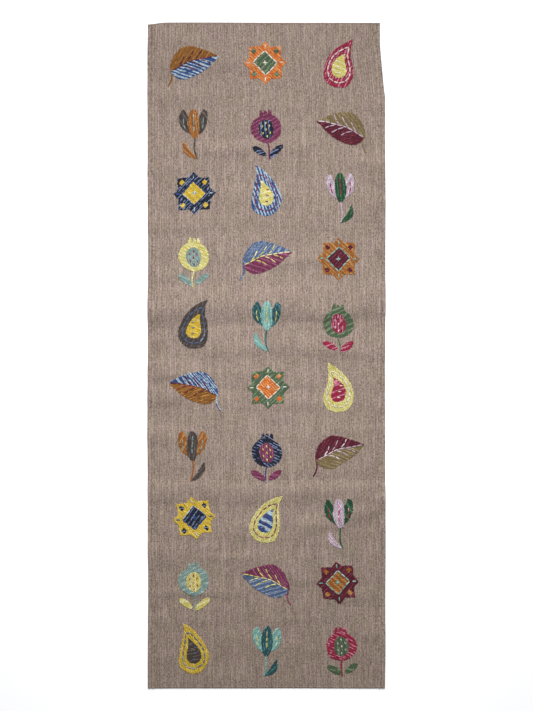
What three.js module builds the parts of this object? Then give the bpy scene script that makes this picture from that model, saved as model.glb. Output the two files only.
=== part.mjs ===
import * as THREE from 'three';

// A long, narrow flat-woven rug, laid out face up on a floor after being stored folded.
// X runs across the width, Y along the length, Z up. The origin is on the floor, under the middle.
// All sizes are in millimetres.

// Driving dimensions
const WIDTH = 800;
const LENGTH = 2236;
const THICKNESS = 3;

// The last row at each end is beaten tight, so the cloth is thinner there
const END_ROW = 5;
const END_THICKNESS = 2.2;

// The top right-hand corner is drawn in, and the top left-hand corner is slack
const DRAWN_IN = 17;
const DRAWN_IN_FROM = 870;
const DRAWN_IN_FULL = 1050;
const SLACK = 6;
const SLACK_WIDTH = 65;

// How far the edges wander from a straight line
const SLOW_WAVER = 0.9;
const QUICK_WAVER = 0.4;

// Section across one side edge, the selvedge of two thick cords: how far in, and how thick
const SELVEDGE = [
  { inset: 0, thick: 2.2 },
  { inset: 3, thick: 4.2 },
  { inset: 21, thick: 4.2 },
  { inset: 24, thick: 3 },
];

// Steps of the grid between the selvedges and between the ends
const STEPS_ACROSS = 10;
const STEPS_ALONG = 140;

// Soft ridges left by the folds. Each has its crest at Y = at + slant * X, stands high over the
// floor, comes down over up towards +Y and over down towards -Y, and fades out over FADE at from and
// to. Where one row fades out as the next fades in, the two make one ridge.
const OFF_EDGE = 480;
const FADE = 75;
const CREST_SWAY = 6;
const FOLDS = [
  { at: 1005, from: -OFF_EDGE, to: 75, high: 4.5, up: 95, down: 62, slant: 0 },
  { at: 697, from: -265, to: 190, high: 3.6, up: 50, down: 40, slant: 0 },
  { at: 522, from: -215, to: 235, high: 4.5, up: 45, down: 100, slant: -0.03 },
  { at: 438, from: -OFF_EDGE, to: -215, high: 4.2, up: 45, down: 34, slant: 0 },
  { at: 321, from: -80, to: 290, high: 3.2, up: 50, down: 40, slant: 0 },
  { at: 262, from: -OFF_EDGE, to: -250, high: 3, up: 32, down: 28, slant: 0 },
  { at: 166, from: -OFF_EDGE, to: 37, high: 12, up: 74, down: 70, slant: 0 },
  { at: 168, from: -38, to: 240, high: 12, up: 92, down: 56, slant: 0 },
  { at: 162, from: 165, to: OFF_EDGE, high: 7.5, up: 95, down: 44, slant: 0 },
  { at: 29, from: -240, to: OFF_EDGE, high: 3.6, up: 50, down: 45, slant: 0 },
  { at: -58, from: -OFF_EDGE, to: -215, high: 4, up: 45, down: 45, slant: 0 },
  { at: -92, from: 245, to: OFF_EDGE, high: 3, up: 40, down: 40, slant: 0 },
  { at: -140, from: -OFF_EDGE, to: -250, high: 5, up: 60, down: 36, slant: 0 },
  { at: -263, from: -OFF_EDGE, to: -215, high: 3.8, up: 38, down: 42, slant: 0 },
  { at: -455, from: -OFF_EDGE, to: OFF_EDGE, high: 4.2, up: 36, down: 50, slant: 0 },
  { at: -608, from: 50, to: OFF_EDGE, high: 5, up: 45, down: 45, slant: 0.28 },
  { at: -545, from: -85, to: 45, high: 2.5, up: 32, down: 30, slant: 0 },
  { at: -653, from: -OFF_EDGE, to: -280, high: 3.4, up: 50, down: 65, slant: 0 },
  { at: -733, from: 10, to: 170, high: 2.5, up: 40, down: 32, slant: 0 },
  { at: -820, from: 190, to: 320, high: 2.5, up: 36, down: 28, slant: 0 },
  { at: -955, from: 285, to: OFF_EDGE, high: 5, up: 70, down: 150, slant: 0 },
];

const clamp = (value) => Math.min(Math.max(value, 0), 1);
const ease = (value) => (1 - Math.cos(Math.PI * clamp(value))) / 2;

// A ridge's height at a place: a rounded arch between its two feet, full along the middle of its
// span and dying out at the ends
function ridgeHeight(fold, x, y) {
  const sway = CREST_SWAY * Math.sin(x / 90 + fold.at / 60);
  const past = y - (fold.at + fold.slant * x + sway);
  const reach = past > 0 ? fold.up : fold.down;
  const arch = Math.cos((Math.PI / 2) * Math.min(Math.abs(past) / reach, 1)) ** 1.25;
  const along = ease((x - fold.from) / FADE) * ease((fold.to - x) / FADE);
  return fold.high * arch * along;
}

const lift = (x, y) => FOLDS.reduce((sum, fold) => sum + ridgeHeight(fold, x, y), 0);

// Small wandering of an edge, never outwards past the straight line
function waver(along) {
  const slow = SLOW_WAVER * (1 + Math.sin(along / 170));
  const quick = QUICK_WAVER * (1 + Math.sin(along / 61 + 2));
  return slow + quick;
}

const drawnIn = (y) => DRAWN_IN * clamp((y - DRAWN_IN_FROM) / (DRAWN_IN_FULL - DRAWN_IN_FROM)) ** 0.8;
const leftEdge = (y) => -WIDTH / 2 + waver(y);
const rightEdge = (y) => WIDTH / 2 - waver(y + 400) - drawnIn(y);
const topEnd = (x) => LENGTH / 2 - 0.5 * waver(x) - SLACK * (1 - ease((x + WIDTH / 2) / SLACK_WIDTH));
const bottomEnd = (x) => -LENGTH / 2 + 0.5 * waver(x + 250);

// Columns of the grid from the left selvedge to the right one: the share of the cloth's width
// between the selvedges, the distance in from the left and right edges, and the thickness
function columnStations() {
  const left = SELVEDGE.map(({ inset, thick }) => ({ share: 0, fromEdge: inset, thick }));
  const right = SELVEDGE.map(({ inset, thick }) => ({ share: 1, fromEdge: -inset, thick })).reverse();
  const field = [];
  for (let step = 1; step < STEPS_ACROSS; step += 1) {
    field.push({ share: step / STEPS_ACROSS, fromEdge: 0, thick: THICKNESS });
  }
  return [...left, ...field, ...right];
}

// Rows of the grid from the bottom end to the top one: the share of the length, and how much of
// the full thickness the cloth has there
function rowStations() {
  const endShare = END_ROW / LENGTH;
  const rows = [{ share: 0, fullness: END_THICKNESS / THICKNESS }];
  for (let step = 0; step <= STEPS_ALONG; step += 1) {
    rows.push({ share: endShare + ((1 - 2 * endShare) * step) / STEPS_ALONG, fullness: 1 });
  }
  rows.push({ share: 1, fullness: END_THICKNESS / THICKNESS });
  return rows;
}

// Where a column and a row of the grid cross, seen from above
function crossing(column, row) {
  const y = (row.share - 0.5) * LENGTH;
  const deepest = SELVEDGE[SELVEDGE.length - 1].inset;
  const left = leftEdge(y);
  const right = rightEdge(y);
  let x = left + column.fromEdge;
  if (column.share === 1) {
    x = right + column.fromEdge;
  } else if (column.share > 0) {
    x = left + deepest + (right - left - 2 * deepest) * column.share;
  }
  return { x, y: bottomEnd(x) + (topEnd(x) - bottomEnd(x)) * row.share };
}

// The cloth as one closed sheet: an underside and a face of the same grid, and a strip all round
function groundGeometry() {
  const columns = columnStations();
  const rows = rowStations();
  const across = columns.length;
  const along = rows.length;
  const layer = across * along;
  const points = [];
  for (const isFace of [false, true]) {
    for (const row of rows) {
      for (const column of columns) {
        const { x, y } = crossing(column, row);
        points.push(x, y, lift(x, y) + (isFace ? column.thick * row.fullness : 0));
      }
    }
  }

  const faces = [];
  const quad = (a, b, c, d) => faces.push(a, b, c, a, c, d);
  const under = (i, j) => j * across + i;
  const over = (i, j) => layer + under(i, j);
  for (let j = 0; j < along - 1; j += 1) {
    for (let i = 0; i < across - 1; i += 1) {
      quad(over(i, j), over(i + 1, j), over(i + 1, j + 1), over(i, j + 1));
      quad(under(i, j), under(i, j + 1), under(i + 1, j + 1), under(i + 1, j));
    }
  }
  const lastColumn = across - 1;
  const lastRow = along - 1;
  for (let i = 0; i < lastColumn; i += 1) {
    quad(under(i, 0), under(i + 1, 0), over(i + 1, 0), over(i, 0));
    quad(under(i + 1, lastRow), under(i, lastRow), over(i, lastRow), over(i + 1, lastRow));
  }
  for (let j = 0; j < lastRow; j += 1) {
    quad(under(0, j + 1), under(0, j), over(0, j), over(0, j + 1));
    quad(under(lastColumn, j), under(lastColumn, j + 1), over(lastColumn, j + 1), over(lastColumn, j));
  }

  const geometry = new THREE.BufferGeometry();
  geometry.setAttribute('position', new THREE.Float32BufferAttribute(points, 3));
  geometry.setIndex(faces);
  geometry.computeVertexNormals();
  return geometry;
}

// Undyed taupe yarn, matt all over
const taupeYarn = new THREE.MeshStandardMaterial({ color: 0x9a887d, roughness: 0.95, metalness: 0 });

const ground = new THREE.Mesh(groundGeometry(), taupeYarn);
ground.name = 'kilim_ground';

const runner = new THREE.Group();
runner.add(ground);

export default runner;
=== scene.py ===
import bpy
import numpy as np
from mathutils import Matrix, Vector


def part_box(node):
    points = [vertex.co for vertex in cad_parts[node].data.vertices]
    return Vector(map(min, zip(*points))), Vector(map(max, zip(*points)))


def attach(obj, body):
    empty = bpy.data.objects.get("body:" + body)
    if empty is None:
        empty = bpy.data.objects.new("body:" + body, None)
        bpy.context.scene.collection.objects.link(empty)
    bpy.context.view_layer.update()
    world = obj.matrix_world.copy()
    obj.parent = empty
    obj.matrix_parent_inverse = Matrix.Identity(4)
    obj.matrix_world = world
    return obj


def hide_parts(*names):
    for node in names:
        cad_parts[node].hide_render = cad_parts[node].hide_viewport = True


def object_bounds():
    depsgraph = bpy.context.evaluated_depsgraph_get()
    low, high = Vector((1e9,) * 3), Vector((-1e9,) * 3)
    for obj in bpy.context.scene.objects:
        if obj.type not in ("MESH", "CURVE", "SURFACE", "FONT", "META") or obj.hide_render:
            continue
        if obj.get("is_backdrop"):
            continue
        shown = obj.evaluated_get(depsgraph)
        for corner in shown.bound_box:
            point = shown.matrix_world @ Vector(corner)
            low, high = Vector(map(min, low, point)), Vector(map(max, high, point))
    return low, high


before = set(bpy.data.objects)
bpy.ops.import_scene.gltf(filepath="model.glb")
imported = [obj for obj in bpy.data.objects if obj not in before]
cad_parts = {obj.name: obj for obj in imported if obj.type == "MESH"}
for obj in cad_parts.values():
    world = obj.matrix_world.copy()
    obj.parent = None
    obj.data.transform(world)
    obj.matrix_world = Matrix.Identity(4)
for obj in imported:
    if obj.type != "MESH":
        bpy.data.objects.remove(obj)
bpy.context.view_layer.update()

# Ground: one long narrow cloth, flat-woven in melange taupe yarn and laid face up on the floor.
# Its coarse ribs run along the length, two thick cords close each side, and a tight row closes
# each end. It was stored folded, so soft ridges are left across it. Sizes are in millimetres.
MM = 0.001
low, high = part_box("kilim_ground")
WIDTH = round((high[0] - low[0]) / MM)
LENGTH = round((high[1] - low[1]) / MM)
THICKNESS = 3.0

CORD = 12.0
CORDS = 2
EDGE = CORD * CORDS
CORD_HEIGHT = 4.4
CORD_ROOT = 2.3
CORD_ROUND = 0.7
CORD_STEPS = 8
EDGE_HEIGHT = 1.0

RIBS = 94
STEPS_A_RIB = 3
RIB_RELIEF = 0.9
RIB_ROUND = 0.6
RIB_WANDER = 0.5
WANDER_ROWS = 13
SLUB = 0.16
SLUB_ROWS = 4
PICK = 3.6
WEAVE_SEED = 7

END_ROW = 7.0
END_STEPS = 5
END_ROOT = 0.45
END_JOIN = 0.8
ROWS = 288
BACK_ACROSS = 8
BACK_ALONG = 3

DRAWN_IN = 17.0
DRAWN_IN_FROM = 870.0
DRAWN_IN_FULL = 1050.0
DRAWN_IN_BEND = 0.8
SLACK = 6.0
SLACK_WIDTH = 65.0
SLOW_WAVER = 0.9
SLOW_LONG = 170.0
QUICK_WAVER = 0.4
QUICK_LONG = 61.0
QUICK_START = 2.0
END_WAVER = 0.5
RIGHT_SHIFT = 400.0
BOTTOM_SHIFT = 250.0

OFF_EDGE = 480.0
CREST_SWAY = 6.0
SWAY_LONG = 90.0
SWAY_SHIFT = 60.0
ARCH_ROUND = 1.25
RIDGE_COLUMNS = ("at", "begin", "stop", "high", "up", "down", "slant")
FOLD_FADE = 75.0
FOLDS = [dict(zip(RIDGE_COLUMNS, row)) for row in (
    (1005, -OFF_EDGE, 75, 4.5, 95, 62, 0.0),
    (697, -265, 190, 3.6, 50, 40, 0.0),
    (522, -215, 235, 4.5, 45, 100, -0.03),
    (438, -OFF_EDGE, -215, 4.2, 45, 34, 0.0),
    (321, -80, 290, 3.2, 50, 40, 0.0),
    (262, -OFF_EDGE, -250, 3.0, 32, 28, 0.0),
    (166, -OFF_EDGE, 37, 12.0, 74, 70, 0.0),
    (168, -38, 240, 12.0, 92, 56, 0.0),
    (162, 165, OFF_EDGE, 7.5, 95, 44, 0.0),
    (29, -240, OFF_EDGE, 3.6, 50, 45, 0.0),
    (-58, -OFF_EDGE, -215, 4.0, 45, 45, 0.0),
    (-92, 245, OFF_EDGE, 3.0, 40, 40, 0.0),
    (-140, -OFF_EDGE, -250, 5.0, 60, 36, 0.0),
    (-263, -OFF_EDGE, -215, 3.8, 38, 42, 0.0),
    (-455, -OFF_EDGE, OFF_EDGE, 4.2, 36, 50, 0.0),
    (-608, 50, OFF_EDGE, 5.0, 45, 45, 0.28),
    (-545, -85, 45, 2.5, 32, 30, 0.0),
    (-653, -OFF_EDGE, -280, 3.4, 50, 65, 0.0),
    (-733, 10, 170, 2.5, 40, 32, 0.0),
    (-820, 190, 320, 2.5, 36, 28, 0.0),
    (-955, 285, OFF_EDGE, 5.0, 70, 150, 0.0),
)]
CREASE_FADE = 50.0
CREASES = [dict(zip(RIDGE_COLUMNS, row)) for row in (
    (884, -215, 5, 1.3, 30, 20, 0.02),
    (874, -OFF_EDGE, -225, 2.6, 30, 55, -0.03),
    (821, -10, 200, 1.8, 26, 26, 0.02),
    (797, -OFF_EDGE, -160, 1.0, 14, 20, 0.0),
    (700, -240, 220, 2.2, 28, 24, 0.02),
    (656, 225, OFF_EDGE, 1.6, 16, 40, -0.04),
    (646, -OFF_EDGE, -265, 2.0, 20, 55, 0.05),
    (516, 310, OFF_EDGE, 2.6, 18, 20, -0.02),
    (435, 10, 290, 1.3, 18, 16, -0.02),
    (319, 70, 210, 1.6, 20, 24, 0.0),
    (280, -165, -40, 2.0, 18, 28, 0.06),
    (94, 50, 250, 1.4, 18, 24, 0.0),
    (79, -270, 60, 2.8, 26, 30, 0.03),
    (45, -OFF_EDGE, -320, 2.0, 20, 28, 0.0),
    (17, 80, 420, 1.6, 22, 26, -0.02),
    (-52, -140, 70, 1.6, 22, 20, 0.03),
    (-74, -OFF_EDGE, -235, 1.8, 24, 28, 0.0),
    (-150, -240, -90, 1.6, 20, 26, 0.02),
    (-163, -120, 170, 2.4, 48, 26, 0.04),
    (-213, -30, 90, 1.2, 16, 14, 0.0),
    (-247, 230, OFF_EDGE, 1.8, 20, 24, 0.0),
    (-364, -100, 60, 1.5, 25, 20, 0.05),
    (-502, 220, OFF_EDGE, 2.0, 22, 22, 0.05),
    (-576, -110, 0, 1.6, 20, 22, 0.0),
    (-643, -240, -120, 1.2, 18, 16, 0.0),
    (-676, -240, -10, 1.8, 20, 24, 0.0),
    (-682, 90, 230, 1.6, 26, 22, 0.06),
    (-760, 60, 170, 1.8, 16, 26, 0.0),
    (-794, -OFF_EDGE, -90, 1.8, 20, 16, 0.03),
    (-878, -OFF_EDGE, -320, 1.3, 18, 18, 0.0),
    (-878, -20, 230, 1.3, 18, 18, -0.03),
)]

PUCKERS = 16
PUCKER_SLOPE = 0.014
PUCKER_LONG = (35, 130)
PUCKER_WIDE = (220, 900)
PUCKER_PATCH = (250, 700)
PUCKER_DRIFT = 310.0
PUCKER_SEED = 41
EDGE_FLAT = 40.0


def ease(value):
    """Half a cosine wave: 0 up to 0, 1 from 1 on, and smooth between."""
    return (1 - np.cos(np.pi * np.clip(value, 0, 1))) / 2


def ridges(x, y, table, fade):
    """Height of a sum of ridges. Each is a rounded arch between its two feet, the cosine of a
    quarter turn raised to a power, and dies out at its ends."""
    height = np.zeros(np.broadcast(x, y).shape)
    for ridge in table:
        sway = CREST_SWAY * np.sin(x / SWAY_LONG + ridge["at"] / SWAY_SHIFT)
        past = y - (ridge["at"] + ridge["slant"] * x + sway)
        reach = np.where(past > 0, ridge["up"], ridge["down"])
        arch = np.cos(np.pi / 2 * np.minimum(np.abs(past) / reach, 1)) ** ARCH_ROUND
        along = ease((x - ridge["begin"]) / fade) * ease((ridge["stop"] - x) / fade)
        height += ridge["high"] * arch * along
    return height


def lift(x, y):
    """Height of the cloth's underside over the floor: its folds, and the lesser creases."""
    return ridges(x, y, FOLDS, FOLD_FADE) + ridges(x, y, CREASES, CREASE_FADE)


def pucker(x, y):
    """Height of small uneven puckers between the folds: a sum of sine waves that come and go in
    patches, far longer across the cloth than along it, and all of about the same slope."""
    random = np.random.default_rng(PUCKER_SEED)
    height = np.zeros(np.broadcast(x, y).shape)
    for _ in range(PUCKERS):
        long = random.uniform(*PUCKER_LONG)
        wide = random.uniform(*PUCKER_WIDE) * random.choice((-1, 1))
        turn = random.uniform(0, 2 * np.pi)
        patch = random.uniform(*PUCKER_PATCH)
        here = 0.5 + 0.5 * np.sin(x / patch * 2 * np.pi + y / PUCKER_DRIFT + 3 * turn)
        size = PUCKER_SLOPE * long / (2 * np.pi)
        height += size * here * np.sin(2 * np.pi * (y / long + x / wide) + turn)
    return height


def waver(along):
    """Small wandering of an edge, never negative: a slow and a quick sine wave."""
    slow = SLOW_WAVER * (1 + np.sin(along / SLOW_LONG))
    quick = QUICK_WAVER * (1 + np.sin(along / QUICK_LONG + QUICK_START))
    return slow + quick


def left_edge(y):
    """X of the left edge."""
    return -WIDTH / 2 + waver(y)


def right_edge(y):
    """X of the right edge, which is drawn in towards the top corner."""
    reach = (y - DRAWN_IN_FROM) / (DRAWN_IN_FULL - DRAWN_IN_FROM)
    drawn_in = DRAWN_IN * np.clip(reach, 0, 1) ** DRAWN_IN_BEND
    return WIDTH / 2 - waver(y + RIGHT_SHIFT) - drawn_in


def top_end(x):
    """Y of the top end, which is slack at the left corner."""
    slack = SLACK * (1 - ease((x + WIDTH / 2) / SLACK_WIDTH))
    return LENGTH / 2 - END_WAVER * waver(x) - slack


def bottom_end(x):
    """Y of the bottom end."""
    return -LENGTH / 2 + END_WAVER * waver(x + BOTTOM_SHIFT)


def uneven(random, rows, columns, long):
    """A smooth random number for each rib along its length, about -1 to 1: white noise averaged
    over long rows with a rounded window."""
    window = np.hanning(long + 2)[1:-1]
    window /= np.sqrt((window ** 2).sum())
    noise = random.normal(0, 1, (rows + long - 1, columns))
    return np.stack([np.convolve(line, window, "valid") for line in noise.T], axis=1) / 2


def across_stations():
    """Columns of the face: distance from the left edge on a cloth of even width, thickness over
    the underside, and rib number, which runs on into the cords."""
    cords = np.linspace(0, EDGE, CORDS * CORD_STEPS + 1)[:-1]
    root = np.minimum(EDGE_HEIGHT + (CORD_ROOT - EDGE_HEIGHT) * cords / CORD, CORD_ROOT)
    height = root + (CORD_HEIGHT - root) * np.abs(np.sin(np.pi * cords / CORD)) ** CORD_ROUND
    rib = np.linspace(0, RIBS, RIBS * STEPS_A_RIB + 1)
    field = EDGE + (WIDTH - 2 * EDGE) * rib / RIBS
    crest = np.abs(np.sin(np.pi * rib)) ** RIB_ROUND
    rise = THICKNESS - RIB_RELIEF * (1 - crest)
    inset = np.concatenate([cords, field, WIDTH - cords[::-1]])
    thick = np.concatenate([height, rise, height[::-1]])
    rib_number = np.concatenate([cords / CORD - CORDS, rib, RIBS + CORDS - cords[::-1] / CORD])
    return inset, thick, rib_number


def along_stations():
    """Rows of the face: distance from the bottom end, and the share of the full thickness, which
    swells and dips once over the tight row at each end."""
    end = np.linspace(0, END_ROW, END_STEPS + 1)[:-1]
    roll = END_ROOT + (1 - END_ROOT) * np.abs(np.sin(np.pi * end / END_ROW)) ** CORD_ROUND
    middle = np.linspace(END_ROW, LENGTH - END_ROW, ROWS + 1)
    full = np.ones(ROWS + 1)
    full[[0, -1]] = END_JOIN
    place = np.concatenate([end, middle, LENGTH - end[::-1]])
    share = np.concatenate([roll, full, roll[::-1]])
    return place, share


def cloth_points(inset, place):
    """X and Y of the cloth's points: the insets are squeezed between the two side edges, and the
    places between the two ends, so the grid follows the cloth's uneven outline."""
    y = (place - LENGTH / 2)[:, None]
    left, right = left_edge(y), right_edge(y)
    share = np.clip((inset - EDGE) / (WIDTH - 2 * EDGE), 0, 1)
    x = left + EDGE + (right - left - 2 * EDGE) * share
    x = x + np.minimum(inset - EDGE, 0) + np.maximum(inset - (WIDTH - EDGE), 0)
    y = bottom_end(x) + (top_end(x) - bottom_end(x)) * (place / LENGTH)[:, None]
    return x, y


def grid_faces(first, across, along, turned):
    """Four-cornered faces of a grid whose points are numbered row by row from first."""
    corner = (first + np.arange(along - 1)[:, None] * across + np.arange(across - 1)).ravel()
    faces = np.stack([corner, corner + 1, corner + across + 1, corner + across], axis=1)
    return faces[:, ::-1] if turned else faces


def ring(first, across, along):
    """Point numbers once round the border of a grid, anticlockwise from its first point."""
    row = np.arange(across)
    column = np.arange(along) * across
    last = (along - 1) * across
    border = [row[:-1], column[:-1] + across - 1, (last + row)[:0:-1], column[:0:-1]]
    return first + np.concatenate(border)


def joining_strip(fine, coarse, match):
    """Three-cornered faces that close the gap between a fine ring and a coarse one. match gives,
    for each coarse point, the place in the fine ring of the point over it."""
    count = len(fine)
    steps = np.arange(count)
    owner = np.searchsorted(match, steps, side="right") - 1
    upper = np.stack([fine[(steps + 1) % count], fine, coarse[owner]], axis=1)
    following = np.roll(coarse, -1)
    reached = fine[np.append(match[1:], 0)]
    lower = np.stack([coarse, following, reached], axis=1)
    return np.concatenate([upper, lower])


def placed(name, data, place=(0, 0, 0), turn=(0, 0, 0)):
    """An object of the scene at a place in metres, turned by some degrees about X, Y and Z."""
    thing = bpy.data.objects.new(name, data)
    thing.location = place
    thing.rotation_euler = np.radians(turn)
    bpy.context.scene.collection.objects.link(thing)
    return thing


def new_piece(name, points, faces):
    """A smooth mesh object at the origin from its points and a list of face arrays."""
    mesh = bpy.data.meshes.new(name)
    flat = np.concatenate([part.ravel() for part in faces])
    sizes = np.concatenate([np.full(len(part), part.shape[1]) for part in faces])
    mesh.vertices.add(len(points))
    mesh.vertices.foreach_set("co", (points * MM).astype(np.float32).ravel())
    mesh.loops.add(len(flat))
    mesh.loops.foreach_set("vertex_index", flat.astype(np.int32))
    mesh.polygons.add(len(sizes))
    mesh.polygons.foreach_set("loop_start", (np.cumsum(sizes) - sizes).astype(np.int32))
    mesh.update(calc_edges=True)
    mesh.polygons.foreach_set("use_smooth", np.ones(len(sizes), bool))
    return placed(name, mesh)


def corner_map(piece, name, places):
    """A UV map from one place for each corner of the faces."""
    layer = piece.data.uv_layers.new(name=name)
    layer.data.foreach_set("uv", places.astype(np.float32).ravel())


BAKE_MARGIN = 0.01
BAKE_GAP = 20.0
BAKE_SPAN = 2 * WIDTH + 30.0
BAKED_BACK_FROM = 0.71
BAKED_BACK_TALL = 0.28


def bake_places(sheet, faces):
    """A place in baked pictures for each corner of the faces. The lower and upper halves of the
    ribbed face and its edge are two strips side by side, and the back is laid across over them."""
    corners = np.concatenate([part.ravel() for part in faces])
    x, y = sheet[corners, 0] + WIDTH / 2, sheet[corners, 1] + LENGTH / 2
    middles = [np.repeat(sheet[part, 1].mean(axis=1), part.shape[1]) for part in faces]
    upper = np.concatenate(middles) > 0
    scale = (1 - 2 * BAKE_MARGIN) / BAKE_SPAN
    strip_u = BAKE_MARGIN + (x + np.where(upper, WIDTH + BAKE_GAP, 0)) * scale
    strip_v = BAKE_MARGIN + (y - np.where(upper, LENGTH / 2, 0)) * scale
    back_scale = BAKED_BACK_TALL / WIDTH
    back_u = BAKE_MARGIN + y * back_scale
    back_v = BAKED_BACK_FROM + x * back_scale
    is_back = np.repeat([False, True, False], [part.size for part in faces])
    return np.stack([np.where(is_back, back_u, strip_u), np.where(is_back, back_v, strip_v)], axis=1)


def ground_piece():
    """The cloth as one closed sheet: a fine ribbed face, a coarse plain back, and a strip that
    joins them all round."""
    random = np.random.default_rng(WEAVE_SEED)
    inset, thick, rib = across_stations()
    place, share = along_stations()
    across, along = len(inset), len(place)
    x, y = cloth_points(inset, place)
    in_field = (rib > 0) & (rib < RIBS)
    wander = uneven(random, along, across, WANDER_ROWS) * RIB_WANDER
    slub = uneven(random, along, across, SLUB_ROWS) * SLUB
    x = x + np.where(in_field, wander, 0)
    from_end = np.minimum(place, LENGTH - place)[:, None]
    from_side = np.minimum(inset, WIDTH - inset)
    puckers = pucker(x, y) * ease(from_end / EDGE_FLAT) * ease(from_side / EDGE_FLAT)
    z = lift(x, y) + puckers + thick * share[:, None] + np.where(in_field, slub, 0)
    face = np.stack([x, y, z], axis=2).reshape(-1, 3)

    columns = np.unique(np.append(np.arange(0, across, BACK_ACROSS), across - 1))
    rows = np.unique(np.append(np.arange(0, along, BACK_ALONG), along - 1))
    over = (rows[:, None] * across + columns).ravel()
    back = face[over]
    back[:, 2] = lift(back[:, 0], back[:, 1])

    fine = ring(0, across, along)
    coarse = ring(len(face), len(columns), len(rows))
    number = np.full(len(face), -1)
    number[fine] = np.arange(len(fine))
    match = number[over[coarse - len(face)]]
    faces = [
        grid_faces(0, across, along, False),
        grid_faces(len(face), len(columns), len(rows), True),
        joining_strip(fine, coarse, match),
    ]
    sheet = np.concatenate([face, back])
    piece = new_piece("kilim_cloth", sheet, faces)

    weave = np.stack(np.broadcast_arrays(rib, place[:, None] / PICK), axis=2).reshape(-1, 2)
    weave = np.concatenate([weave, weave[over]])
    corners = np.concatenate([part.ravel() for part in faces])
    corner_map(piece, "cloth", weave[corners])
    corner_map(piece, "OFBake", bake_places(sheet, faces))
    return piece


LIGHT_PINK = (0.452, 0.342, 0.283)
LIGHT_STRAW = (0.436, 0.344, 0.262)
SHADE_BROWN = (0.158, 0.115, 0.088)
# Dark flecks of yarn; the same colour is also the painted shade in the grooves between the ribs.
DARK_FLECK_AND_SHADE = (0.080, 0.056, 0.044)

NOISE_COLUMNS = ("place", "across", "along", "detail", "tone", "height")
NOISES = {name: dict(zip(NOISE_COLUMNS, row)) for name, *row in (
    ("streak", "ply", 1.0, 0.055, 1.0, 0.17, 0.0),
    ("band", "cloth", 0.5, 0.014, 0.0, 0.06, 0.0),
    ("stroke", "ply", 1.0, 0.24, 0.0, 0.18, 0.0),
    ("grain", "cloth", 2.4, 0.5, 0.0, 0.27, 0.9),
    ("speck", "cloth", 2.0, 0.9, 0.0, 0.27, 0.6),
    ("fibre", "cloth", 3.1, 4.3, 1.0, 0.2, 0.4),
    ("pale", "pale_ply", 1.0, 0.035, 0.0, 0.0, 0.0),
    ("tint", "cloth", 0.21, 0.05, 2.0, 0.0, 0.0),
    ("break", "groove", 1.0, 0.10, 1.0, 0.0, 0.0),
    ("fleck", "cloth", 1.9, 0.55, 1.0, 0.0, 0.0),
)}
PLIES_A_RIB = 2
PLY_APART = 13.7
PALE_PLY_APART = 5.9
GROOVE_APART = 7.3

TONE_RANGE = (0.43, 0.74)
TINT_RANGE = (0.38, 0.62)
PALE_RANGE = (0.58, 0.68)
PALE_TONE = 0.07
# Painted shade in the grooves between the ribs: how far it reaches across a rib and how dark it is,
# broken up by a noise.
GROOVE_WIDE = 0.55
GROOVE_SHADE = 0.65
BREAK_RANGE = (0.36, 0.64)
BREAK_DARK = 0.2
FLECK_RANGE = (0.66, 0.76)
FLECK_DARK = 0.7
END_RANGE = (0.2, 1.4)
END_DARK = 0.4
HUMP_HEIGHT = 0.6
WEAVE_DEEP = 1.0
BUMP_STRENGTH = 0.6
WEAVE_SURFACE = {
    "Roughness": 0.95,
    "Specular IOR Level": 0.2,
    "Sheen Weight": 0.12,
    "Sheen Roughness": 0.5,
}


def add_node(tree, kind, **settings):
    """A node of one kind with some of its properties set."""
    node = tree.nodes.new(kind)
    for name, value in settings.items():
        setattr(node, name, value)
    return node


def set_inputs(node, values):
    """Sets input sockets of a node by name."""
    for name, value in values.items():
        node.inputs[name].default_value = value


def joined(tree, kind, *sources, **settings):
    """A node whose first input sockets take the sources, which are output sockets or numbers."""
    node = add_node(tree, kind, **settings)
    for socket, source in zip(node.inputs, sources):
        if isinstance(source, bpy.types.NodeSocket):
            tree.links.new(source, socket)
        else:
            socket.default_value = source
    return node


def maths(tree, operation, *sources):
    """The output of a Math node."""
    return joined(tree, "ShaderNodeMath", *sources, operation=operation).outputs[0]


def weighted(tree, *pairs):
    """The sum of some values, each with its weight."""
    total = None
    for value, weight in pairs:
        part = maths(tree, "MULTIPLY", value, weight)
        total = part if total is None else maths(tree, "ADD", total, part)
    return total


def ranged(tree, value, begin, stop, first=0.0, second=1.0):
    """A value carried from one range to another and held at its ends."""
    return joined(tree, "ShaderNodeMapRange", value, begin, stop, first, second).outputs[0]


def arches(tree, value):
    """A rounded arch for each whole step of a value: the size of the sine of pi times the value."""
    return maths(tree, "ABSOLUTE", maths(tree, "SINE", maths(tree, "MULTIPLY", value, np.pi)))


def noise(tree, place, scale, detail, roughness=0.5):
    """A noise texture's grey output at a flat place, with one scale for each way."""
    moved = add_node(tree, "ShaderNodeMapping")
    moved.inputs["Scale"].default_value = (*scale, 1)
    tree.links.new(place, moved.inputs["Vector"])
    texture = joined(tree, "ShaderNodeTexNoise", moved.outputs[0])
    set_inputs(texture, {"Scale": 1.0, "Detail": detail, "Roughness": roughness})
    return texture.outputs[0]


def mixed(tree, share, first, second):
    """Two colours mixed by a share."""
    node = add_node(tree, "ShaderNodeMix", data_type="RGBA")
    tree.links.new(share, node.inputs[0])
    for socket, colour in ((node.inputs[6], first), (node.inputs[7], second)):
        if isinstance(colour, bpy.types.NodeSocket):
            tree.links.new(colour, socket)
        else:
            socket.default_value = (*colour, 1)
    return node.outputs[2]


def bumped(tree, shader, height, deep):
    """Gives a shader a bump as deep as its height's unit stands for."""
    bump = add_node(tree, "ShaderNodeBump")
    set_inputs(bump, {"Strength": BUMP_STRENGTH, "Distance": deep * MM})
    tree.links.new(height, bump.inputs["Height"])
    tree.links.new(bump.outputs[0], shader.inputs["Normal"])


def new_material(name):
    """A material with its node tree and its Principled shader."""
    material = bpy.data.materials.new(name)
    material.use_nodes = True
    tree = material.node_tree
    return material, tree, tree.nodes["Principled BSDF"]


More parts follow.
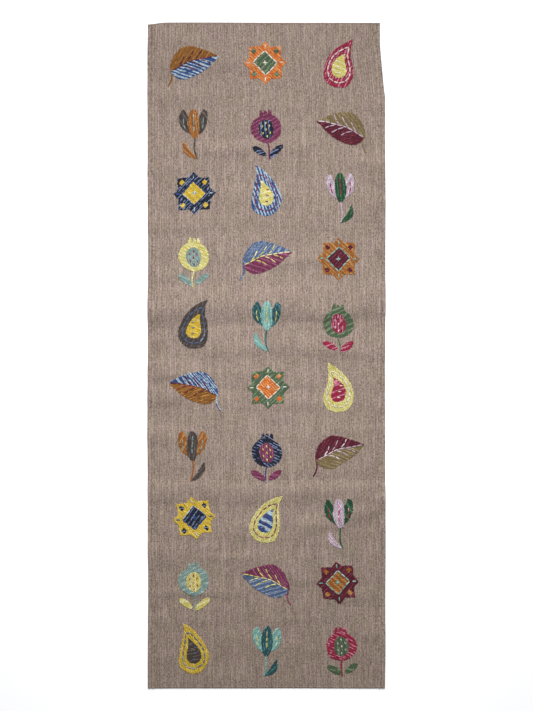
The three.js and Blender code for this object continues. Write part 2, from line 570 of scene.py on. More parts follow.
def by_yarn(tree, yarn, pick, apart):
    """A place for a noise that is another one for each yarn, and smooth along it."""
    number = maths(tree, "MULTIPLY", maths(tree, "FLOOR", yarn), apart)
    return joined(tree, "ShaderNodeCombineXYZ", number, pick).outputs[0]


def ground_material():
    """Melange wool weave: light and dark streaks, strokes, specks and fine fibres, with a few pale
    plies, in slowly changing pinkish and straw tints. Painted shade lies in broken lines in the
    grooves between the ribs, dark flecks are scattered about, the rows at the ends are darker, and
    each pick is a small hump."""
    material, tree, shader = new_material("melange_taupe_weave")
    cloth = add_node(tree, "ShaderNodeUVMap", uv_map="cloth").outputs[0]
    parts = joined(tree, "ShaderNodeSeparateXYZ", cloth)
    rib, pick = parts.outputs[0], parts.outputs[1]
    ply = maths(tree, "MULTIPLY", rib, PLIES_A_RIB)
    places = {
        "cloth": cloth,
        "ply": by_yarn(tree, ply, pick, PLY_APART),
        "pale_ply": by_yarn(tree, ply, pick, PALE_PLY_APART),
        "groove": by_yarn(tree, maths(tree, "ADD", rib, 0.5), pick, GROOVE_APART),
    }
    noises = {
        name: noise(tree, places[row["place"]], (row["across"], row["along"]), row["detail"])
        for name, row in NOISES.items()
    }

    tones = [(noises[name], row["tone"]) for name, row in NOISES.items() if row["tone"]]
    pale = ranged(tree, noises["pale"], *PALE_RANGE)
    tone = weighted(tree, *tones, (pale, PALE_TONE))
    light = mixed(tree, ranged(tree, noises["tint"], *TINT_RANGE), LIGHT_PINK, LIGHT_STRAW)
    colour = mixed(tree, ranged(tree, tone, *TONE_RANGE), SHADE_BROWN, light)

    # Painted shade: the colour is darkened in broken lines along the grooves between the ribs.
    groove = ranged(tree, arches(tree, rib), 0.0, GROOVE_WIDE, GROOVE_SHADE, 0.0)
    broken_shade = ranged(tree, noises["break"], *BREAK_RANGE, BREAK_DARK, 1.0)
    flecks = ranged(tree, noises["fleck"], *FLECK_RANGE, 0.0, FLECK_DARK)
    from_end = maths(tree, "MINIMUM", pick, maths(tree, "SUBTRACT", LENGTH / PICK, pick))
    dark = maths(tree, "MAXIMUM", maths(tree, "MULTIPLY", groove, broken_shade), flecks)
    dark = maths(tree, "MAXIMUM", dark, ranged(tree, from_end, *END_RANGE, END_DARK, 0.0))
    tree.links.new(mixed(tree, dark, colour, DARK_FLECK_AND_SHADE), shader.inputs["Base Color"])

    odd = maths(tree, "MULTIPLY", maths(tree, "FLOOR", rib), 0.5)
    hump = arches(tree, maths(tree, "ADD", pick, odd))
    heights = [(noises[name], row["height"]) for name, row in NOISES.items() if row["height"]]
    bumped(tree, shader, weighted(tree, (hump, HUMP_HEIGHT), *heights), WEAVE_DEEP)
    set_inputs(shader, WEAVE_SURFACE)
    return material


ground = ground_piece()
ground.data.materials.append(ground_material())
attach(ground, "root")
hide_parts("kilim_ground")

# Motifs: plain flowers, leaves, stars, drops and fruits in three straight columns, each worked by
# hand with short stitches of thick wool yarn through the finished cloth. The threads of a fill lie
# side by side and stand a little proud of the weave; veins, stems and seeds are sewn over them.
MOTIF_ROWS = 10
MOTIF_COLUMNS = 3
ROW_PITCH = 218.0
COLUMN_PITCH = 244.0
MOTIF_REACH = 128.0
OFF_CENTRE = 4.0
OFF_UPRIGHT = 3.0
MOTIF_SEED = 500

THREAD_GAP = 2.6
THREAD_WIDE = 3.5
THREAD_HIGH = 1.15
WIDE_SPREAD = (0.9, 1.1)
HIGH_SPREAD = (0.85, 1.15)
FILL_STITCH = 11.0
STEM_STITCH = 8.5
VEIN_STITCH = 20.0
SHORTEST_STITCH = 1.6
TUCK = 0.7
VEIN_GAP = 0.4
STRAND_GAP = 2.4
BRICK_SHIFT = 0.382
TRACE = 0.5
BENT_STEPS = 24

EDGE_UNEVEN = 0.8
BRICK_UNEVEN = 0.1
CUT_UNEVEN = 0.3
SIDE_UNEVEN = 0.22
MARK_UNEVEN = 0.2
LINE_UNEVEN = 0.2

ON_CLOTH = 0
OVER_EDGE = 0.2
ON_TOP = 1
CROSSING = 1.4
LAYER_RISE = 0.75
OVER_WIDE = 1.25

YARN_COLUMNS = ("deep", "pale", "share")
YARNS = {name: dict(zip(YARN_COLUMNS, row)) for name, *row in (
    ("ochre", (146, 94, 32), (184, 130, 66), 0.3),
    ("denim", (52, 82, 138), (192, 212, 218), 0.42),
    ("orange", (220, 112, 36), (238, 168, 100), 0.4),
    ("moss", (84, 106, 74), (136, 152, 118), 0.32),
    ("forest", (28, 76, 46), (74, 126, 84), 0.3),
    ("pink", (200, 176, 188), (228, 212, 218), 0.4),
    ("straw", (220, 208, 112), (240, 232, 172), 0.4),
    ("sunflower", (220, 186, 50), (238, 210, 108), 0.35),
    ("charcoal", (76, 66, 60), (118, 104, 94), 0.3),
    ("plum", (124, 50, 82), (170, 98, 128), 0.3),
    ("navy", (22, 27, 50), (136, 152, 184), 0.28),
    ("burgundy", (94, 22, 40), (138, 56, 72), 0.25),
    ("crimson", (160, 32, 66), (224, 146, 166), 0.28),
    ("teal", (34, 88, 92), (84, 138, 138), 0.3),
    ("aqua", (132, 184, 172), (174, 214, 204), 0.35),
    ("sage", (136, 162, 152), (172, 192, 182), 0.35),
    ("steel", (88, 108, 140), (150, 164, 188), 0.35),
    ("olive", (134, 114, 74), (170, 150, 112), 0.3),
    ("caramel", (164, 100, 36), (204, 146, 82), 0.35),
    ("cream", (232, 222, 200), (243, 237, 224), 0.3),
)}
SCHEME_COLUMNS = ("main", "second", "accent")
SCHEMES = [dict(zip(SCHEME_COLUMNS, row)) for row in (
    ("ochre", "denim", "burgundy"),
    ("plum", "navy", "straw"),
    ("pink", "forest", "crimson"),
    ("charcoal", "sunflower", "steel"),
    ("orange", "moss", "cream"),
    ("olive", "burgundy", "pink"),
    ("straw", "sage", "crimson"),
    ("teal", "aqua", "straw"),
    ("crimson", "straw", "cream"),
    ("navy", "sunflower", "denim"),
    ("steel", "plum", "straw"),
    ("moss", "crimson", "pink"),
    ("charcoal", "caramel", "sage"),
    ("denim", "straw", "plum"),
    ("caramel", "burgundy", "aqua"),
)]
SCHEME_STEP = 4
YARN_SHADE = 0.80


def linear(colour):
    """A screen colour of 0 to 255 as linear light by the usual screen curve, and then a little
    darker, as yarn is under this light."""
    share = np.array(colour) / 255
    return YARN_SHADE * np.where(share < 0.04, share / 12.92, ((share + 0.055) / 1.055) ** 2.4)


def rotated(x, y, degrees):
    """X and Y turned anticlockwise about the origin."""
    turn = np.radians(degrees)
    return x * np.cos(turn) - y * np.sin(turn), x * np.sin(turn) + y * np.cos(turn)


def fill(inside, angle, random):
    """Starts and ends of the stitches that fill a shape, in the order they are sewn: threads side
    by side at an angle, cut a little unevenly where each leaves the shape and at every stitch's
    length, and shifted from thread to thread as bricks are."""
    thread = np.arange(-MOTIF_REACH, MOTIF_REACH, THREAD_GAP)
    trace = np.arange(-MOTIF_REACH, MOTIF_REACH, TRACE)
    along, across = np.meshgrid(trace, thread)
    change = np.diff(inside(*rotated(along, across, angle)).astype(int), axis=1)
    row, first = np.nonzero(change == 1)
    last = np.nonzero(change == -1)[1]
    begin = trace[first] + random.normal(0, EDGE_UNEVEN, len(row))
    stop = trace[last] + random.normal(0, EDGE_UNEVEN, len(row))
    shift = row * BRICK_SHIFT % 1 + random.uniform(-BRICK_UNEVEN, BRICK_UNEVEN, len(row))
    first_cut = np.floor(begin / FILL_STITCH - shift) + 1
    last_cut = np.ceil(stop / FILL_STITCH - shift) - 1
    count = np.maximum(last_cut - first_cut + 2, 1).astype(int)
    owner = np.repeat(np.arange(len(row)), count)
    order = np.arange(count.sum()) - np.repeat(np.cumsum(count) - count, count)
    cut = (first_cut + shift)[owner] * FILL_STITCH + order * FILL_STITCH
    start = np.maximum(begin[owner], cut - FILL_STITCH)
    end = np.minimum(stop[owner], cut)
    keep = end - start > SHORTEST_STITCH
    side = thread[row[owner[keep]]]
    ends = []
    for place in (start[keep] - TUCK, end[keep] + TUCK):
        place = place + random.normal(0, CUT_UNEVEN, len(side))
        off = side + random.normal(0, SIDE_UNEVEN, len(side))
        ends.append(np.stack(rotated(place, off, angle), axis=1))
    return ends


def line(points, random, long, strands=1, tuck=TUCK):
    """Starts and ends of running stitches along a smooth line, with strands lying side by side.
    Stitches run into each other by the tuck, or stay apart where it is below zero."""
    points = np.array(points, float)
    step = np.hypot(*np.diff(points, axis=0).T)
    run = np.append(0, np.cumsum(step))
    count = max(int(round(run[-1] / long)), 1)
    first, last = [], []
    for strand in range(strands):
        marks = np.linspace(0, run[-1], count + 1)
        marks[1:-1] += random.uniform(-MARK_UNEVEN, MARK_UNEVEN, count - 1) * long
        x, y = np.interp(marks, run, points[:, 0]), np.interp(marks, run, points[:, 1])
        way = np.gradient(np.stack([x, y], axis=1), axis=0)
        way /= np.hypot(*way.T)[:, None]
        side = (strand - (strands - 1) / 2) * STRAND_GAP
        place = np.stack([x - way[:, 1] * side, y + way[:, 0] * side], axis=1)
        place += random.normal(0, LINE_UNEVEN, place.shape)
        first.append(place[:-1] - way[:-1] * tuck)
        last.append(place[1:] + way[1:] * tuck)
    return np.concatenate(first), np.concatenate(last)


def vein(points, random):
    """A line of long stitches with a little of the fill between them."""
    return line(points, random, VEIN_STITCH, tuck=-VEIN_GAP)


def overlay(points, random):
    """A vein in the accent yarn, over the fills."""
    return "accent", vein(points, random), ON_TOP


def stem(points, random):
    """A line of two strands side by side."""
    return line(points, random, STEM_STITCH, strands=2)


def bent(start, end, bow):
    """Points of a line from start to end that bows sideways by a half sine wave."""
    start, end = np.array(start, float), np.array(end, float)
    share = np.linspace(0, 1, BENT_STEPS)[:, None]
    way = end - start
    side = np.array([-way[1], way[0]]) / np.hypot(*way)
    return start + way * share + side * bow * np.sin(np.pi * share)


def ellipse(x, y, centre, half, degrees=0.0):
    """Inside an ellipse with its half sizes along and across a turned axis."""
    along, across = rotated(x - centre[0], y - centre[1], -degrees)
    return (along / half[0]) ** 2 + (across / half[1]) ** 2 < 1


LEAF_LONG = 172.0
LEAF_HALF = 52.0
LEAF_FAT = 0.72
LEAF_ROUND = 0.9
LEAF_BOW = 13.0
LEAF_LEAN = 18.0
LEAF_FILLS = (38, -34)
MIDRIB = (-0.46, 0.47)
MIDRIB_STEPS = 30
STALK = (-0.49, -0.62)
STALK_DROP = 46.0
STALK_BOW = 7.0
VEIN_STARTS = ((0.20, 1), (0.38, 1), (0.56, 1), (0.28, -1), (0.46, -1), (0.64, -1))
VEIN_OFF = 3.0
VEIN_SLANT = 0.5
VEIN_FORWARD = 6.0
VEIN_REACH = 0.62
VEIN_BOW = 3.0


def leaf(random):
    """A broad leaf in two halves, either side of a bowed midrib with veins and a bent stalk."""
    def spine(x):
        share = np.clip(x / LEAF_LONG + 0.5, 0, 1)
        half = LEAF_HALF * np.sin(np.pi * share ** LEAF_FAT) ** LEAF_ROUND
        return share, LEAF_BOW * np.sin(np.pi * share), half

    def half_leaf(side):
        def inside(x, y):
            share, middle, half = spine(x)
            off = side * (y - middle)
            return (share > 0) & (share < 1) & (off > 0) & (off < half)
        return inside

    midrib = np.linspace(*MIDRIB, MIDRIB_STEPS) * LEAF_LONG
    near, far = np.array(STALK) * LEAF_LONG
    stalk = bent((near, 0), (far, -STALK_DROP), STALK_BOW)
    layers = [
        ("main", fill(half_leaf(1), LEAF_FILLS[0], random), ON_CLOTH),
        ("second", fill(half_leaf(-1), LEAF_FILLS[1], random), ON_CLOTH),
        ("main", stem(stalk, random), ON_CLOTH),
        overlay(np.stack([midrib, spine(midrib)[1]], axis=1), random),
    ]
    for share, side in VEIN_STARTS:
        x = (share - 0.5) * LEAF_LONG
        _, middle, half = spine(np.array(x))
        root = (x, middle + side * VEIN_OFF)
        tip = (x + VEIN_SLANT * half + VEIN_FORWARD, middle + side * half * VEIN_REACH)
        layers.append(overlay(bent(root, tip, -VEIN_BOW * side), random))
    return layers


CUP_HALF = 52.0
CUP_BASE = -14.0
CUP_TOP = 56.0
CUP_ROUND = 2.2
CUP_TAPER = 0.08
PETAL_RISE = 28.0
PETAL_HALF = (50.0, 19.0)
PETAL_MIDDLE = (0.0, 22.0)
STEM_TOP = (0.0, -24.0)
STEM_FOOT = (-5.0, -96.0)
STEM_BOW = 4.0
BLADE_TIP = (38.0, -34.0)
BLADE_HALF = 10.0
BLADE_ROUND = 0.8
BLADE_BOW = 11.0
TULIP_FILLS = (62, 90, 50)
TULIP_VEINS = (
    ((0.0, -4.0), (0.0, 56.0), 1),
    ((-28.08, 4.0), (-33.08, 42.0), 3),
    ((28.08, 4.0), (33.08, 42.0), -3),
)


def three_tips(x, half):
    """Height of three rounded tips across a width of two halves, as a share of their rise."""
    return np.abs(np.cos(1.5 * np.pi * x / half))


def tulip(random):
    """A tulip on a long thin stem with one blade leaf. Its cup is round below and straight above,
    with three rounded petal tips, and a middle petal lies over it."""
    def middle_petal(x, y):
        return ellipse(x, y, PETAL_MIDDLE, PETAL_HALF, 90)

    def cup(x, y):
        share = np.clip((y - CUP_BASE) / (CUP_TOP - CUP_BASE), 0, 1)
        half = CUP_HALF * np.sqrt(1 - (1 - share) ** CUP_ROUND) * (1 - CUP_TAPER * share)
        top = CUP_TOP + PETAL_RISE * (three_tips(x, CUP_HALF) - 0.5)
        return (y > CUP_BASE) & (y < top) & (np.abs(x) < half) & ~middle_petal(x, y)

    def blade(x, y):
        way = np.subtract(BLADE_TIP, STEM_FOOT)
        long = np.hypot(*way)
        lean = np.degrees(np.arctan2(*way[::-1]))
        along, across = rotated(x - STEM_FOOT[0], y - STEM_FOOT[1], -lean)
        swell = np.sin(np.pi * np.clip(along / long, 0, 1))
        off = np.abs(across + BLADE_BOW * swell)
        return (along > 0) & (along < long) & (off < BLADE_HALF * swell ** BLADE_ROUND)

    layers = [
        ("main", fill(cup, TULIP_FILLS[0], random), ON_CLOTH),
        ("second", fill(middle_petal, TULIP_FILLS[1], random), OVER_EDGE),
        ("second", fill(blade, TULIP_FILLS[2], random), ON_CLOTH),
        ("main", stem(bent(STEM_TOP, STEM_FOOT, STEM_BOW), random), ON_CLOTH),
    ]
    for root, tip, bow in TULIP_VEINS:
        layers.append(overlay(bent(root, tip, bow), random))
    return layers


STAR_HALF = 72.0
STAR_SQUARE = 0.74
STAR_HEART = 0.56
STAR_CHIP = 0.14
STAR_CHIP_AT = 0.53
STAR_RAY = (0.66, 0.88)
STAR_CROSS = 9.0
STAR_FILLS = (45, -45, 0)


def star(random):
    """An eight-pointed star, a square laid over a diamond, with a smaller diamond in its middle and
    a chip in each of the square's corners."""
    def diamond(x, y, half, centre=(0, 0)):
        return np.abs(x - centre[0]) + np.abs(y - centre[1]) < half

    def heart(x, y):
        return diamond(x, y, STAR_HALF * STAR_HEART)

    def chips(x, y):
        return diamond(np.abs(x), np.abs(y), STAR_HALF * STAR_CHIP, (STAR_HALF * STAR_CHIP_AT,) * 2)

    def body(x, y):
        square = np.maximum(np.abs(x), np.abs(y)) < STAR_HALF * STAR_SQUARE
        return (square | diamond(x, y, STAR_HALF)) & ~(heart(x, y) | chips(x, y))

    layers = [
        ("main", fill(body, STAR_FILLS[0], random), ON_CLOTH),
        ("second", fill(heart, STAR_FILLS[1], random), ON_CLOTH),
        ("second", fill(chips, STAR_FILLS[2], random), ON_CLOTH),
    ]
    half = STAR_HALF * STAR_HEART
    corners = [(half, 0), (0, half), (-half, 0), (0, -half), (half, 0)]
    for begin, stop in zip(corners[:-1], corners[1:]):
        point = np.array(begin) / half * STAR_HALF
        layers.append(overlay([begin, stop], random))
        layers.append(overlay([point * STAR_RAY[0], point * STAR_RAY[1]], random))
    layers.append(overlay([(-STAR_CROSS, 0), (STAR_CROSS, 0)], random))
    layers.append(("accent", vein([(0, -STAR_CROSS), (0, STAR_CROSS)], random), CROSSING))
    return layers


FRUIT_HALF = (51.0, 48.0)
CROWN_HALF = 21.0
CROWN_TALL = 20.0
CROWN_SINK = 4.0
CROWN_ROUND = 0.6
WINDOW_MIDDLE = (0.0, -1.0)
WINDOW_HALF = (25.0, 33.0)
FRUIT_LEAVES = (((27, -78), (29, 11), 34), ((-29, -74), (27, 10), 146))
FRUIT_FOOT = (3.0, -102.0)
FRUIT_BOW = 3.0
FRUIT_FILLS = (28, 90, 20)
SEEDS = ((0, 20), (-12, 9), (12, 9), (0, -2), (-12, -14), (12, -14), (0, -25))
SEED_HALF = (1.5, 5.0)


def fruit(random):
    """A pomegranate: a round body with a three-pointed crown, seeds in an oval window, and a stem
    with two small leaves."""
    def window(x, y):
        return ellipse(x, y, WINDOW_MIDDLE, WINDOW_HALF)

    def body(x, y):
        rise = CROWN_TALL * three_tips(x, CROWN_HALF) ** CROWN_ROUND
        crown = (np.abs(x) < CROWN_HALF) & (y > 0) & (y < FRUIT_HALF[1] - CROWN_SINK + rise)
        return (ellipse(x, y, (0, 0), FRUIT_HALF) | crown) & ~window(x, y)

    def leaves(x, y):
        first, second = [ellipse(x, y, *place) for place in FRUIT_LEAVES]
        return first | second

    layers = [
        ("main", fill(body, FRUIT_FILLS[0], random), ON_CLOTH),
        ("second", fill(window, FRUIT_FILLS[1], random), ON_CLOTH),
        ("second", fill(leaves, FRUIT_FILLS[2], random), ON_CLOTH),
        ("main", stem(bent((0, -FRUIT_HALF[1]), FRUIT_FOOT, FRUIT_BOW), random), ON_CLOTH),
    ]
    for seed in SEEDS:
        layers.append(overlay([np.subtract(seed, SEED_HALF), np.add(seed, SEED_HALF)], random))
    return layers


DROP_TALL = 166.0
DROP_HALF = 50.0
DROP_FAT = 0.6
DROP_ROUND = 0.8
DROP_CURL = 42.0
CURL_BEND = (2.4, 1.4)
DROP_HEART = 0.5
HEART_LOW = 0.09
DROP_RIM = 0.76
RIM_STEPS = 121
RIM_REACH = 0.97
DROP_FILLS = (66, -20)
DROP_SEEDS = ((-4, -34), (-4, -14), (-6, 6))
DROP_SEED_HALF = (6, 0)


def drop(random):
    """A bent drop, round below and drawn out above to a curled tip, with a line of stitches and a
    smaller drop within it."""
    def outline(share):
        middle = DROP_CURL * (CURL_BEND[0] * share ** 3 - CURL_BEND[1] * share ** 2)
        return middle, DROP_HALF * np.sin(np.pi * share ** DROP_FAT) ** DROP_ROUND

    def sized(size):
        def inside(x, y):
            share = np.clip((y / DROP_TALL + HEART_LOW * (1 - size)) / size + 0.5, 0, 1)
            middle, half = outline(share)
            return (share > 0) & (share < 1) & (np.abs(x - middle * size) < half * size)
        return inside

    whole, heart = sized(1), sized(DROP_HEART)
    way = np.linspace(-1, 1, RIM_STEPS)
    share = RIM_REACH * (1 - way ** 2) ** 2
    middle, half = outline(share)
    rim_x = (middle + half * np.sign(way)) * DROP_RIM
    rim_y = ((share - 0.5) * DROP_RIM - HEART_LOW * (1 - DROP_RIM)) * DROP_TALL
    layers = [
        ("main", fill(lambda x, y: whole(x, y) & ~heart(x, y), DROP_FILLS[0], random), ON_CLOTH),
        ("second", fill(heart, DROP_FILLS[1], random), ON_CLOTH),
        overlay(np.stack([rim_x, rim_y], axis=1), random),
    ]
    for seed in DROP_SEEDS:
        ends = [np.subtract(seed, DROP_SEED_HALF), np.add(seed, DROP_SEED_HALF)]
        layers.append(overlay(ends, random))
    return layers


SIDES = 5
ALONG_STITCH = np.array([0.0, 0.07, 0.32, 0.68, 0.93, 1.0])
ROUND_STITCH = np.array([0.0, 0.75, 1.0, 1.0, 0.75, 0.0])
DIVE_STITCH = np.array([-1.0, -0.4, 0.0, 0.0, -0.4, -1.0])


def stitch_faces(count):
    """Faces of count stitches. A stitch is a point, four rings of five points, and a point."""
    rings = len(ALONG_STITCH) - 2
    side = np.arange(SIDES)
    following = (side + 1) % SIDES
    last = 1 + rings * SIDES
    body = []
    for ring_number in range(rings - 1):
        back, front = 1 + ring_number * SIDES, 1 + (ring_number + 1) * SIDES
        body.append(np.stack([back + side, front + side, front + following, back + following], axis=1))
    body = np.concatenate(body)
    caps = np.concatenate([
        np.stack([np.zeros(SIDES, int), 1 + side, 1 + following], axis=1),
        np.stack([np.full(SIDES, last), last - SIDES + following, last - SIDES + side], axis=1),
    ])
    step = np.arange(count)[:, None, None] * (last + 1)
    return [(body + step).reshape(-1, 4), (caps + step).reshape(-1, 3)]


def stitch_turns(count):
    """How far round the yarn each corner of those faces lies, in whole turns, with the jump from
    one turn to the next on the underside."""
    side = np.arange(SIDES)
    begin = side / SIDES + 0.5 - (side > SIDES // 2)
    end = begin + 1 / SIDES
    middle = (begin + end) / 2
    body = np.tile(np.stack([begin, begin, end, end], axis=1), (len(ALONG_STITCH) - 3, 1))
    caps = [np.stack([middle, begin, end], axis=1), np.stack([middle, end, begin], axis=1)]
    return np.concatenate([np.tile(body.ravel(), count), np.tile(np.concatenate(caps).ravel(), count)])


def by_point(by_ring):
    """Values for the two tips and four rings of a stitch, repeated for each of its points."""
    return np.concatenate([by_ring[:1], np.repeat(by_ring[1:-1], SIDES), by_ring[-1:]])


def stitch_points(start, end, wide, tall, base):
    """Points of rounded stitches over the cloth: along each from start to end, a five-sided
    section of the given width and height over base, narrowing and diving in at both ends."""
    way = end - start
    side = np.stack([-way[:, 1], way[:, 0]], axis=1) / np.hypot(*way.T)[:, None]
    axis = start[:, None] + way[:, None] * ALONG_STITCH[:, None]
    height = lift(axis[..., 0], axis[..., 1]) + pucker(axis[..., 0], axis[..., 1])
    height = height + THICKNESS + base[:, None] + DIVE_STITCH
    angle = 2 * np.pi * np.arange(SIDES) / SIDES
    across = np.sin(angle) * (wide / 2)[:, None, None] * ROUND_STITCH[:, None]
    upward = np.cos(angle) * tall[:, None, None] * ROUND_STITCH[:, None]
    plane = axis[:, :, None] + side[:, None, None] * across[..., None]
    points = np.concatenate([plane, (height[:, :, None] + upward)[..., None]], axis=3)
    middle = points[:, 1:-1].reshape(len(start), -1, 3)
    return np.concatenate([points[:, :1, 0], middle, points[:, -1:, 0]], axis=1)


DYE_REPEAT = (180.0, 460.0)
RIPPLE = 0.5
RIPPLE_QUICK = 2.7
DYE_UNEVEN = 0.3
DYE_REACH = 1.2
DYE_SOFT = 0.6
STITCH_SHADE = 0.10
# Painted shade at the ends of the stitches, where they dive into the cloth.
TUCKED_PAINTED_SHADE = 0.70


def length_sewn(points):
    """How much yarn was sewn before each point of some stitches in sewing order."""
    span = points[:, -1, :2] - points[:, 0, :2]
    long = np.hypot(*span.T)[:, None]
    return np.cumsum(long)[:, None] - long * (1 - by_point(ALONG_STITCH))


def yarn_colours(name, sewn, random):
    """A colour for each point of some stitches. The yarn is dyed in deep and pale lengths, so its
    colour follows the length sewn, by a sum of two sine waves and some noise. Each stitch is a
    little lighter or darker, and painted shade darkens all where they dive into the cloth."""
    yarn = YARNS[name]
    cycle = sewn / random.uniform(*DYE_REPEAT) * 2 * np.pi
    first, second = random.uniform(0, 2 * np.pi, 2)
    wave = np.sin(cycle + first) + RIPPLE * np.sin(RIPPLE_QUICK * cycle + second)
    wave = wave + random.normal(0, DYE_UNEVEN, (len(sewn), 1))
    level = DYE_REACH * np.cos(np.pi * yarn["share"])
    pale = ease((wave - level) / DYE_SOFT + 0.5)[..., None]
    colour = linear(yarn["deep"]) * (1 - pale) + linear(yarn["pale"]) * pale
    shade = 1 + random.normal(0, STITCH_SHADE, (len(sewn), 1, 1))
    # Painted shade: darker towards each stitch's ends, where it dives into the cloth.
    tuck_shade = TUCKED_PAINTED_SHADE + (1 - TUCKED_PAINTED_SHADE) * by_point(ROUND_STITCH)[:, None]
    return colour * shade * tuck_shade


WOBBLE = 1.4
WOBBLE_LONG = 14.0
TWIST = 8.0
FILL_RISE = 0.1
RISE_UNEVEN = 0.08
BAKE_ROOM = 1.02


def motif_piece(name, make, scheme, centre, lean, mirrored, random):
    """One motif as one mesh of stitches, a little wobbly, turned and set at its place."""
    points, colours, lengths = [], [], []
    phase = random.uniform(0, 2 * np.pi)
    for role, ends, layer in make(random):
        places = []
        for place in ends:
            place = place * (-1, 1) if mirrored else place
            place = place + WOBBLE * np.sin(place[:, ::-1] / WOBBLE_LONG + phase)
            places.append(np.stack(rotated(*place.T, lean), axis=1) + centre)
        count = len(places[0])
        wide = THREAD_WIDE * random.uniform(*WIDE_SPREAD, count) * (OVER_WIDE if layer >= ON_TOP else 1)
        tall = THREAD_HIGH * random.uniform(*HIGH_SPREAD, count)
        base = FILL_RISE + LAYER_RISE * layer + random.normal(0, RISE_UNEVEN, count)
        made = stitch_points(*places, wide, tall, base)
        sewn = length_sewn(made)
        points.append(made)
        lengths.append(sewn)
        colours.append(yarn_colours(scheme[role], sewn, random))
    points, colours, lengths = map(np.concatenate, (points, colours, lengths))
    faces = stitch_faces(len(points))
    flat = points.reshape(-1, 3)
    piece = new_piece(name, flat, faces)
    layer = piece.data.color_attributes.new("yarn", "FLOAT_COLOR", "POINT")
    rgba = np.concatenate([colours.reshape(-1, 3), np.ones((len(flat), 1))], axis=1)
    layer.data.foreach_set("color", rgba.astype(np.float32).ravel())
    corners = np.concatenate([part.ravel() for part in faces])
    reach = np.abs(flat[:, :2] - centre).max() * BAKE_ROOM
    corner_map(piece, "OFBake", 0.5 + (flat[corners, :2] - centre) / (2 * reach))
    turns = stitch_turns(len(points))
    corner_map(piece, "yarn_way", np.stack([turns, lengths.ravel()[corners] / TWIST], axis=1))
    return piece


YARN_PLIES = 2
PLY_WIDE = 0.6
# Painted shade in the groove between the plies and a faint painted highlight along their tops.
PLY_SHADING = (0.78, 1.06)
PLY_HEIGHT = 0.7
FIBRE_SCALE = (14, 5)
FIBRE_DETAIL = 2.0
FIBRE_ROUGH = 0.6
FIBRE_RANGE = (0.3, 0.7)
FIBRE_LIGHT = (0.84, 1.14)
FIBRE_HEIGHT = 0.5
YARN_DEEP = 0.7
YARN_SURFACE = {"Roughness": 0.9, "Specular IOR Level": 0.25, "Sheen Weight": 0.15}


def yarn_material():
    """Two-ply wool yarn in the stitches' own colours. The yarn's own map gives turns round it and
    twists along it. Each ply is an arch over both together, lower in the groove between the plies,
    with painted shade in that groove and a faint painted highlight along each ply's top, and fine
    fibres along it."""
    material, tree, shader = new_material("stitch_wool")
    way = add_node(tree, "ShaderNodeUVMap", uv_map="yarn_way").outputs[0]
    parts = joined(tree, "ShaderNodeSeparateXYZ", way)
    turned = maths(tree, "ADD", parts.outputs[0], parts.outputs[1])
    ply = arches(tree, maths(tree, "MULTIPLY", turned, YARN_PLIES))
    along_ply = joined(tree, "ShaderNodeCombineXYZ", turned, parts.outputs[1]).outputs[0]
    fibre = noise(tree, along_ply, FIBRE_SCALE, FIBRE_DETAIL, FIBRE_ROUGH)

    # Painted shade and highlight: darker in the groove between the plies, a little lighter along their
    # tops.
    rounded = ranged(tree, ply, 0.0, PLY_WIDE, *PLY_SHADING)
    light = maths(tree, "MULTIPLY", rounded, ranged(tree, fibre, *FIBRE_RANGE, *FIBRE_LIGHT))
    lighter = add_node(tree, "ShaderNodeHueSaturation")
    colour = add_node(tree, "ShaderNodeAttribute", attribute_name="yarn").outputs["Color"]
    tree.links.new(light, lighter.inputs["Value"])
    tree.links.new(colour, lighter.inputs["Color"])
    tree.links.new(lighter.outputs[0], shader.inputs["Base Color"])
    bumped(tree, shader, weighted(tree, (ply, PLY_HEIGHT), (fibre, FIBRE_HEIGHT)), YARN_DEEP)
    set_inputs(shader, YARN_SURFACE)
    return material


stitch_wool = yarn_material()
KINDS = (leaf, tulip, star, fruit, drop)
for number in range(MOTIF_ROWS * MOTIF_COLUMNS):
    row, column = divmod(number, MOTIF_COLUMNS)
    random = np.random.default_rng(MOTIF_SEED + number)
    make = KINDS[(row + 2 * column) % len(KINDS)]
    scheme = SCHEMES[number * SCHEME_STEP % len(SCHEMES)]
    if number >= len(SCHEMES):
        scheme = {**scheme, "main": scheme["second"], "second": scheme["main"]}
    middle = (MOTIF_COLUMNS - 1) / 2, (MOTIF_ROWS - 1) / 2
    centre = np.array([(column - middle[0]) * COLUMN_PITCH, (middle[1] - row) * ROW_PITCH])
    centre = centre + random.normal(0, OFF_CENTRE, 2)
    lean = random.normal(0, OFF_UPRIGHT) + (LEAF_LEAN if make is leaf else 0)
    mirrored = (row + column) % 2 == 1
    name = f"{make.__name__}_{number + 1:02d}"
    piece = motif_piece(name, make, scheme, centre, -lean if mirrored else lean, mirrored, random)
    piece.data.materials.append(stitch_wool)
    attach(piece, "root")

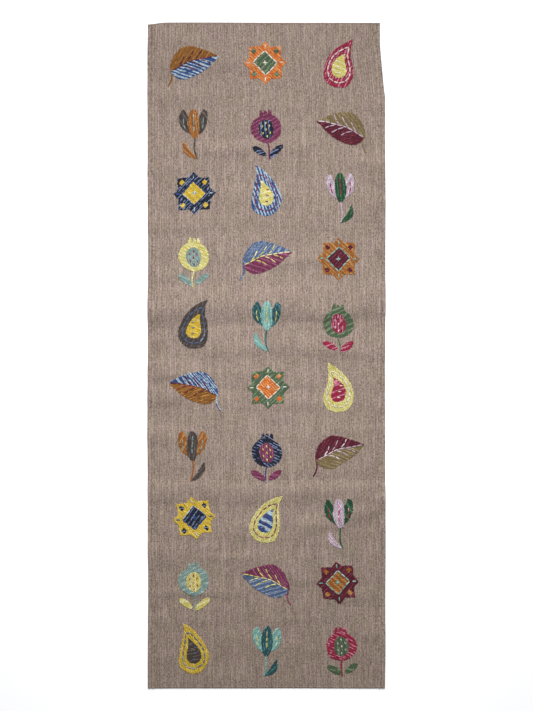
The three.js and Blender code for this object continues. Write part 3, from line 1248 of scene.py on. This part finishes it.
# Floor: a plain pale sheet under the runner, which isn't part of it.
WHITE = (1, 1, 1, 1)
FLOOR_SIZE = 24.0
FLOOR_DROP = 0.0004
FLOOR_SURFACE = {
    "Base Color": (0.93, 0.93, 0.93, 1),
    "Emission Color": WHITE,
    "Emission Strength": 0.3,
    "Roughness": 0.9,
    "Specular IOR Level": 0.1,
}
bpy.ops.mesh.primitive_plane_add(size=FLOOR_SIZE, location=(0, 0, -FLOOR_DROP))
floor = bpy.context.object
floor.name = "floor"
floor_material, _, floor_shader = new_material("pale_floor")
set_inputs(floor_shader, FLOOR_SURFACE)
floor.data.materials.append(floor_material)
floor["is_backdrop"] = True

# Light: daylight from past the top end, a wide soft lamp over the upper half, and a white room. The
# room lights the runner only faintly, but looks bright behind the floor in low views.
SUN_POWER = 2.75
SUN_WIDE = 24
SUN_TILT = -62
LAMP_POWER = 17.5
LAMP_SIZE = (0.7, 1.9)
LAMP_COLOUR = (0.98, 1.0, 1.11)
LAMP_PLACE = (0, 0.36, 1.3)
ROOM_LIGHT = 0.16
ROOM_SEEN = 0.85

sun = bpy.data.lights.new("window_light", "SUN")
sun.energy = SUN_POWER
sun.angle = np.radians(SUN_WIDE)
placed("window_light", sun, turn=(SUN_TILT, 0, 0))

lamp = bpy.data.lights.new("soft_lamp", "AREA")
lamp.shape = "RECTANGLE"
lamp.size, lamp.size_y = LAMP_SIZE
lamp.energy = LAMP_POWER
lamp.color = LAMP_COLOUR
placed("soft_lamp", lamp, LAMP_PLACE).visible_camera = False

world = bpy.data.worlds.new("room")
world.use_nodes = True
room = world.node_tree
background = room.nodes["Background"]
background.inputs["Color"].default_value = WHITE
looked_at = add_node(room, "ShaderNodeLightPath").outputs["Is Camera Ray"]
room_strength = ranged(room, looked_at, 0, 1, ROOM_LIGHT, ROOM_SEEN)
room.links.new(room_strength, background.inputs["Strength"])
bpy.context.scene.world = world

# Camera: straight over the middle of the runner, with its top end up.
PHOTO_HEIGHT = 711
PHOTO_RUNNER = 666
LENS = 85
FARTHEST = 100
camera = bpy.data.cameras.new("camera")
camera.lens = LENS
camera.clip_end = FARTHEST
seen = LENGTH * MM * PHOTO_HEIGHT / PHOTO_RUNNER
bpy.context.scene.camera = placed("camera", camera, (0, 0, seen * LENS / camera.sensor_width))
bpy.context.scene.view_settings.view_transform = "Standard"

low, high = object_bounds()
